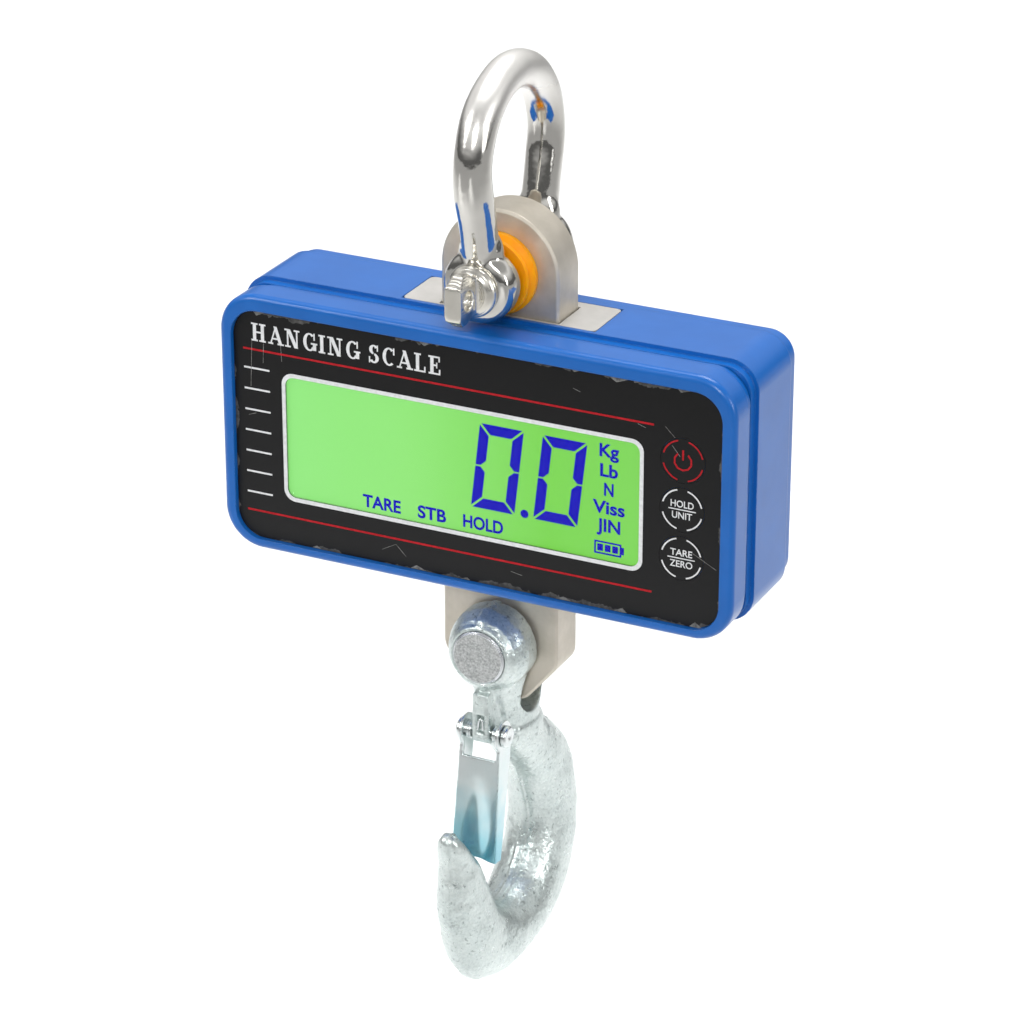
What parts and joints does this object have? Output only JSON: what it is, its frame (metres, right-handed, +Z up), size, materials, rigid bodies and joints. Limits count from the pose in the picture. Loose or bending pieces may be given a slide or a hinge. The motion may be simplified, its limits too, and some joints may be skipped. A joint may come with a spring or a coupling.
{
  "type": "crane scale",
  "caption": "Hanging crane scale: bow shackle and screw pin, plate load cell through a blue two-part case with a lit display and round keys, clevis hook with sprung latch.",
  "frame": {"origin": "hang point: inside of the shackle's crown, on the centre line of the load", "axes": "+Z up along the load line, +Y from the display to the back, +X to the right of someone who reads the display"},
  "size_m": [0.1604, 0.0792, 0.2831],
  "materials": {
    "polished_steel": "mirror polished stainless steel",
    "nickel_plate": "satin nickel plate",
    "orange_nylon": "glossy moulded nylon",
    "bronze": "plain bearing bronze",
    "gauge_foil": "foil gauges on amber film",
    "potting": "white silicone",
    "pale_plate": "satin light grey",
    "blue_plastic": "glossy moulded ABS",
    "gasket_rubber": "soft black rubber",
    "black_film": "satin printed film",
    "clear_window": "clear acrylic",
    "lcd_glass": "liquid crystal glass",
    "backlight": "light guide",
    "white_plastic": "moulded white plastic",
    "circuit_board": "green solder mask",
    "chip_black": "moulded epoxy",
    "switch_metal": "pressed steel",
    "screw_steel": "zinc plated",
    "cell_wrap": "plastic sleeve",
    "nickel_strip": "nickel strip",
    "grey_lead": "grey insulation",
    "red_lead": "red insulation",
    "zinc_forging": "zinc plated rough forging",
    "pin_steel": "blasted grey steel",
    "bright_zinc": "bright zinc plated sheet",
    "spring_steel": "drawn spring wire"
  },
  "bodies": {
    "shackle": {"shackle_bow": "polished_steel", "shackle_pin": "polished_steel"},
    "scale_body": {"load_cell": "nickel_plate", "bush_front": "orange_nylon", "bush_rear": "orange_nylon", "clevis_bush": "bronze", "strain_gauges": "gauge_foil", "gauge_potting": "potting", "top_plate": "pale_plate", "bottom_plate": "pale_plate", "front_shell": "blue_plastic", "rear_shell": "blue_plastic", "shell_gasket": "gasket_rubber", "front_panel": "black_film", "display_window": "clear_window", "lcd_glass": "lcd_glass", "lcd_backlight": "backlight", "lcd_frame": "white_plastic", "main_pcb": "circuit_board", "pcb_chips": "chip_black", "sensor_plug": "white_plastic", "buzzer": "chip_black", "key_switches": "switch_metal", "case_screws": "screw_steel", "cell_screws": "screw_steel", "pcb_screws": "screw_steel", "battery_cells": "cell_wrap", "battery_contacts": "nickel_strip", "battery_springs": "nickel_strip", "sensor_lead": "grey_lead", "battery_leads": "red_lead"},
    "power_key": {"power_key": "black_film"},
    "hold_unit_key": {"hold_unit_key": "black_film"},
    "tare_zero_key": {"tare_zero_key": "black_film"},
    "battery_door": {"battery_door": "blue_plastic"},
    "hook": {"clevis_hook": "zinc_forging", "clevis_pin": "pin_steel", "latch_rivet": "bright_zinc"},
    "latch": {"latch": "bright_zinc", "latch_spring": "spring_steel"}
  },
  "joints": [
    {"name": "scale_swing", "type": "hinge", "parent": "shackle", "child": "scale_body", "pos_m": [0, 0, -0.051], "axis": [0, 1, 0], "range_deg": [-90, 90]},
    {"name": "hook_swing", "type": "hinge", "parent": "scale_body", "child": "hook", "pos_m": [0, 0, -0.1648], "axis": [0, 1, 0], "range_deg": [-80, 80]},
    {"name": "latch_pivot", "type": "hinge", "parent": "hook", "child": "latch", "pos_m": [0, -0.0168, -0.1906], "axis": [1, 0, 0], "range_deg": [0, 33], "stiffness_Nm_per_rad": 0.02, "springref_deg": -34.38},
    {"name": "power_key_press", "type": "slide", "parent": "scale_body", "child": "power_key", "axis": [0, 1, 0], "range_m": [0, 0.0004], "stiffness_N_per_m": 1500},
    {"name": "hold_unit_key_press", "type": "slide", "parent": "scale_body", "child": "hold_unit_key", "axis": [0, 1, 0], "range_m": [0, 0.0004], "stiffness_N_per_m": 1500},
    {"name": "tare_zero_key_press", "type": "slide", "parent": "scale_body", "child": "tare_zero_key", "axis": [0, 1, 0], "range_m": [0, 0.0004], "stiffness_N_per_m": 1500},
    {"name": "battery_door_slide", "type": "slide", "parent": "scale_body", "child": "battery_door", "axis": [0, 0, -1], "range_m": [0, 0.008]}
  ]
}
